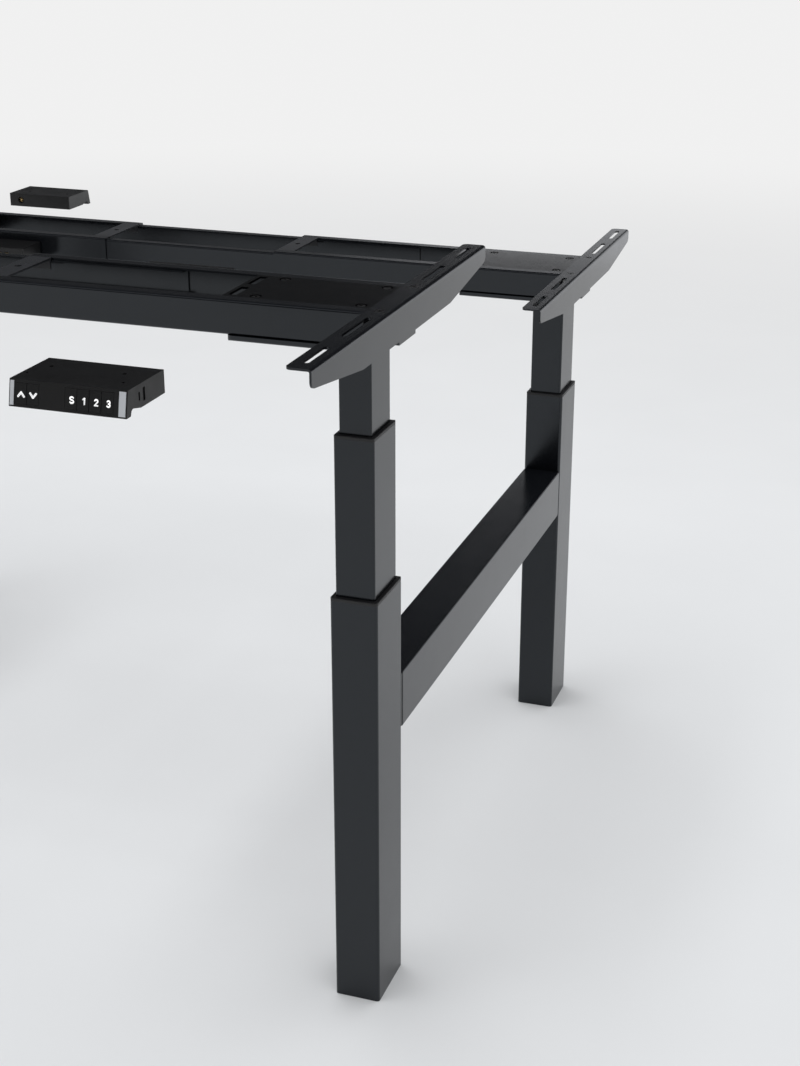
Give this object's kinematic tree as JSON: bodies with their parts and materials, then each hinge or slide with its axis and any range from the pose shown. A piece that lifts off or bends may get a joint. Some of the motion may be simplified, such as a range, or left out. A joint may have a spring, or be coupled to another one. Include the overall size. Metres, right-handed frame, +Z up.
{
  "type": "standing desk frame",
  "caption": "Face-to-face electric standing desk frame: two top frames on telescopic columns, joined at the ends by side beams, with handsets and control boxes.",
  "frame": {"origin": "on the floor, midway between the four columns", "axes": "+Z up, +Y from the front desk to the rear desk, +X along the desks to the right, seen from the front"},
  "size_m": [1.34, 1.6398, 0.9225],
  "materials": {
    "black_powder_coat": "satin",
    "collar_plastic": "matte",
    "glide_plastic": "matte",
    "bare_steel": "satin",
    "black_screws": "satin",
    "motor_grey": "satin",
    "housing_plastic": "matte",
    "key_plastic": "matte",
    "cap_plastic": "satin"
  },
  "bodies": {
    "base": {"front_left_outer_tube": "black_powder_coat", "front_right_outer_tube": "black_powder_coat", "rear_left_outer_tube": "black_powder_coat", "rear_right_outer_tube": "black_powder_coat", "cross_beams": "black_powder_coat", "beam_end_plates": "black_powder_coat", "beam_screws": "bare_steel", "base_plates": "black_powder_coat", "outer_collars": "collar_plastic", "nut_tubes": "bare_steel"},
    "front_stage": {"front_middle_tubes": "black_powder_coat", "front_middle_collars": "collar_plastic", "front_middle_glides": "glide_plastic"},
    "front_top": {"front_inner_tubes": "black_powder_coat", "front_inner_glides": "glide_plastic", "front_spindles": "bare_steel", "front_gear_motors": "motor_grey", "front_leg_heads": "black_powder_coat", "front_leg_screws": "black_screws", "front_leg_pans": "black_powder_coat", "front_end_rails": "black_powder_coat", "front_centre_rails": "black_powder_coat", "front_rail_ties": "black_powder_coat", "front_left_bracket": "black_powder_coat", "front_right_bracket": "black_powder_coat", "front_bracket_screws": "black_screws", "front_control_box": "housing_plastic", "front_handset_case": "housing_plastic", "front_handset_caps": "cap_plastic"},
    "front_up_key_body": {"front_up_key": "key_plastic"},
    "front_down_key_body": {"front_down_key": "key_plastic"},
    "front_s_key_body": {"front_s_key": "key_plastic"},
    "front_1_key_body": {"front_1_key": "key_plastic"},
    "front_2_key_body": {"front_2_key": "key_plastic"},
    "front_3_key_body": {"front_3_key": "key_plastic"},
    "rear_stage": {"rear_middle_tubes": "black_powder_coat", "rear_middle_collars": "collar_plastic", "rear_middle_glides": "glide_plastic"},
    "rear_top": {"rear_inner_tubes": "black_powder_coat", "rear_inner_glides": "glide_plastic", "rear_spindles": "bare_steel", "rear_gear_motors": "motor_grey", "rear_leg_heads": "black_powder_coat", "rear_leg_screws": "black_screws", "rear_leg_pans": "black_powder_coat", "rear_end_rails": "black_powder_coat", "rear_centre_rails": "black_powder_coat", "rear_rail_ties": "black_powder_coat", "rear_left_bracket": "black_powder_coat", "rear_right_bracket": "black_powder_coat", "rear_bracket_screws": "black_screws", "rear_control_box": "housing_plastic", "rear_handset_case": "housing_plastic", "rear_handset_caps": "cap_plastic"},
    "rear_up_key_body": {"rear_up_key": "key_plastic"},
    "rear_down_key_body": {"rear_down_key": "key_plastic"},
    "rear_s_key_body": {"rear_s_key": "key_plastic"},
    "rear_1_key_body": {"rear_1_key": "key_plastic"},
    "rear_2_key_body": {"rear_2_key": "key_plastic"},
    "rear_3_key_body": {"rear_3_key": "key_plastic"}
  },
  "joints": [
    {"name": "front_lift", "type": "slide", "parent": "base", "child": "front_top", "axis": [0, 0, 1], "range_m": [-0.1875, 0.3325]},
    {"name": "front_stage_slide", "type": "slide", "parent": "base", "child": "front_stage", "axis": [0, 0, 1], "range_m": [-0.0715, 0.1265]},
    {"name": "front_up_key_press", "type": "slide", "parent": "front_top", "child": "front_up_key_body", "axis": [0, 0.9762, -0.2169], "range_m": [0, 0.0008], "stiffness_N_per_m": 400, "springref_m": -0.001},
    {"name": "front_down_key_press", "type": "slide", "parent": "front_top", "child": "front_down_key_body", "axis": [0, 0.9762, -0.2169], "range_m": [0, 0.0008], "stiffness_N_per_m": 400, "springref_m": -0.001},
    {"name": "front_s_key_press", "type": "slide", "parent": "front_top", "child": "front_s_key_body", "axis": [0, 0.9762, -0.2169], "range_m": [0, 0.0008], "stiffness_N_per_m": 400, "springref_m": -0.001},
    {"name": "front_1_key_press", "type": "slide", "parent": "front_top", "child": "front_1_key_body", "axis": [0, 0.9762, -0.2169], "range_m": [0, 0.0008], "stiffness_N_per_m": 400, "springref_m": -0.001},
    {"name": "front_2_key_press", "type": "slide", "parent": "front_top", "child": "front_2_key_body", "axis": [0, 0.9762, -0.2169], "range_m": [0, 0.0008], "stiffness_N_per_m": 400, "springref_m": -0.001},
    {"name": "front_3_key_press", "type": "slide", "parent": "front_top", "child": "front_3_key_body", "axis": [0, 0.9762, -0.2169], "range_m": [0, 0.0008], "stiffness_N_per_m": 400, "springref_m": -0.001},
    {"name": "rear_lift", "type": "slide", "parent": "base", "child": "rear_top", "axis": [0, 0, 1], "range_m": [-0.0335, 0.4865]},
    {"name": "rear_stage_slide", "type": "slide", "parent": "base", "child": "rear_stage", "axis": [0, 0, 1], "range_m": [-0.01298, 0.18502]},
    {"name": "rear_up_key_press", "type": "slide", "parent": "rear_top", "child": "rear_up_key_body", "axis": [0, -0.9762, -0.2169], "range_m": [0, 0.0008], "stiffness_N_per_m": 400, "springref_m": -0.001},
    {"name": "rear_down_key_press", "type": "slide", "parent": "rear_top", "child": "rear_down_key_body", "axis": [0, -0.9762, -0.2169], "range_m": [0, 0.0008], "stiffness_N_per_m": 400, "springref_m": -0.001},
    {"name": "rear_s_key_press", "type": "slide", "parent": "rear_top", "child": "rear_s_key_body", "axis": [0, -0.9762, -0.2169], "range_m": [0, 0.0008], "stiffness_N_per_m": 400, "springref_m": -0.001},
    {"name": "rear_1_key_press", "type": "slide", "parent": "rear_top", "child": "rear_1_key_body", "axis": [0, -0.9762, -0.2169], "range_m": [0, 0.0008], "stiffness_N_per_m": 400, "springref_m": -0.001},
    {"name": "rear_2_key_press", "type": "slide", "parent": "rear_top", "child": "rear_2_key_body", "axis": [0, -0.9762, -0.2169], "range_m": [0, 0.0008], "stiffness_N_per_m": 400, "springref_m": -0.001},
    {"name": "rear_3_key_press", "type": "slide", "parent": "rear_top", "child": "rear_3_key_body", "axis": [0, -0.9762, -0.2169], "range_m": [0, 0.0008], "stiffness_N_per_m": 400, "springref_m": -0.001}
  ],
  "couplings": [
    {"joint": "front_stage_slide", "follows": "front_lift", "ratio": 0.38},
    {"joint": "rear_stage_slide", "follows": "rear_lift", "ratio": 0.38}
  ]
}
